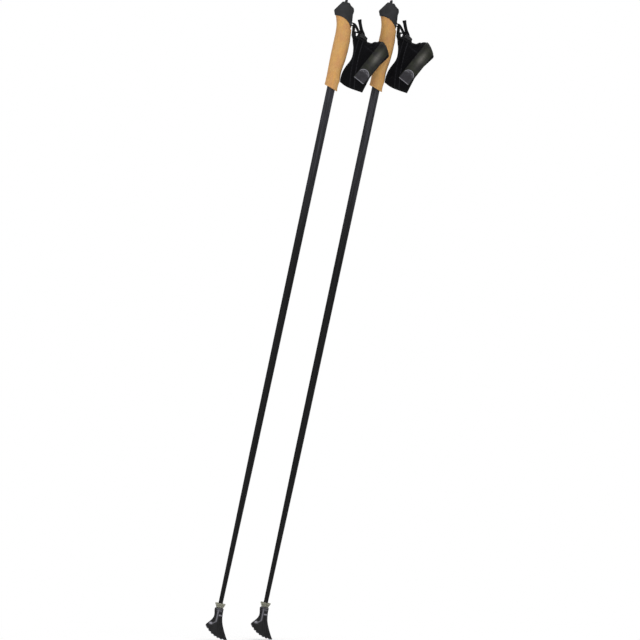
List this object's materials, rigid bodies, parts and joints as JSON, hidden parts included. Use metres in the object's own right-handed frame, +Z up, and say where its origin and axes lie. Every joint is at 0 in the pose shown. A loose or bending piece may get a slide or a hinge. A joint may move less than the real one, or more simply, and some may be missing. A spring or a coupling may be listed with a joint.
{
  "type": "nordic walking pole pair",
  "caption": "Pair of fixed-length walking poles with tapered carbon shafts, cork grips, strap gloves on swinging loops and push-on rubber paws.",
  "frame": {"origin": "middle of the footprint of the pair, level with the toes of the paws", "axes": "+Z up, +X towards the glove side, the poles lean 12.1 degrees towards +X in the XZ plane, +Y from the first pole to the second"},
  "size_m": [0.4205, 0.0887, 1.1802],
  "materials": {
    "carbon": "satin carbon tube with faint lengthwise fibre",
    "dark_plastic": "moulded plastic",
    "cork": "sanded natural cork",
    "head_plastic": "fine matt moulding",
    "steel": "plain steel",
    "webbing": "tight woven webbing",
    "clear_plastic": "translucent smoke plastic",
    "carbide": "ground carbide",
    "glove_fabric": "black laminated mesh",
    "lining_fabric": "soft brushed lining",
    "band_fabric": "satin band",
    "hook_and_loop": "hook and loop tape",
    "tab_rubber": "moulded rubber",
    "paw_rubber": "moulded rubber"
  },
  "bodies": {
    "pole_a": {"shaft_a": "carbon", "shaft_plug_a": "dark_plastic", "grip_core_a": "dark_plastic", "cork_grip_a": "cork", "grip_head_a": "head_plastic", "strap_pin_a": "steel", "strap_anchor_a": "webbing", "tip_ferrule_a": "dark_plastic", "tip_collar_a": "clear_plastic", "carbide_tip_a": "carbide"},
    "wedge_a": {"strap_wedge_a": "head_plastic"},
    "sling_a": {"strap_loop_a": "webbing", "strap_keeper_a": "webbing", "strap_buckle_a": "dark_plastic", "glove_shell_a": "glove_fabric", "glove_lining_a": "lining_fabric", "wrist_band_a": "band_fabric", "loop_patch_a": "hook_and_loop"},
    "tail_a": {"strap_tail_a": "webbing"},
    "flap_a": {"hook_patch_a": "hook_and_loop", "closure_flap_a": "band_fabric", "closure_tab_a": "tab_rubber"},
    "paw_a": {"rubber_paw_a": "paw_rubber", "paw_washer_a": "steel"},
    "pole_b": {"shaft_b": "carbon", "shaft_plug_b": "dark_plastic", "grip_core_b": "dark_plastic", "cork_grip_b": "cork", "grip_head_b": "head_plastic", "strap_pin_b": "steel", "strap_anchor_b": "webbing", "tip_ferrule_b": "dark_plastic", "tip_collar_b": "clear_plastic", "carbide_tip_b": "carbide"},
    "wedge_b": {"strap_wedge_b": "head_plastic"},
    "sling_b": {"strap_loop_b": "webbing", "strap_keeper_b": "webbing", "strap_buckle_b": "dark_plastic", "glove_shell_b": "glove_fabric", "glove_lining_b": "lining_fabric", "wrist_band_b": "band_fabric", "loop_patch_b": "hook_and_loop"},
    "tail_b": {"strap_tail_b": "webbing"},
    "flap_b": {"hook_patch_b": "hook_and_loop", "closure_flap_b": "band_fabric", "closure_tab_b": "tab_rubber"},
    "paw_b": {"rubber_paw_b": "paw_rubber", "paw_washer_b": "steel"}
  },
  "joints": [
    {"name": "wedge_lift_a", "type": "slide", "parent": "pole_a", "child": "wedge_a", "axis": [0.2096, 0, 0.9778], "range_m": [0, 0.012]},
    {"name": "strap_swing_a", "type": "hinge", "parent": "pole_a", "child": "sling_a", "pos_m": [0.05544, -0.023, 1.13464], "axis": [0, -1, 0], "range_deg": [0, 50]},
    {"name": "tail_pull_a", "type": "slide", "parent": "sling_a", "child": "tail_a", "axis": [-0.2096, 0, 0.9778], "range_m": [0, 0.006]},
    {"name": "flap_peel_a", "type": "hinge", "parent": "sling_a", "child": "flap_a", "pos_m": [0.1061, -0.0431, 1.07303], "axis": [-0.7782, 0, 0.628], "range_deg": [0, 100]},
    {"name": "paw_pull_a", "type": "slide", "parent": "pole_a", "child": "paw_a", "axis": [-0.2096, 0, -0.9778], "range_m": [0, 0.045]},
    {"name": "wedge_lift_b", "type": "slide", "parent": "pole_b", "child": "wedge_b", "axis": [0.2096, 0, 0.9778], "range_m": [0, 0.012]},
    {"name": "strap_swing_b", "type": "hinge", "parent": "pole_b", "child": "sling_b", "pos_m": [0.13824, 0.023, 1.13464], "axis": [0, -1, 0], "range_deg": [0, 50]},
    {"name": "tail_pull_b", "type": "slide", "parent": "sling_b", "child": "tail_b", "axis": [-0.2096, 0, 0.9778], "range_m": [0, 0.006]},
    {"name": "flap_peel_b", "type": "hinge", "parent": "sling_b", "child": "flap_b", "pos_m": [0.1889, 0.0029, 1.07303], "axis": [-0.7782, 0, 0.628], "range_deg": [0, 100]},
    {"name": "paw_pull_b", "type": "slide", "parent": "pole_b", "child": "paw_b", "axis": [-0.2096, 0, -0.9778], "range_m": [0, 0.045]},
    {"name": "pair_spread", "type": "slide", "parent": "pole_a", "child": "pole_b", "axis": [1, 0, 0], "range_m": [0, 0.2]}
  ]
}
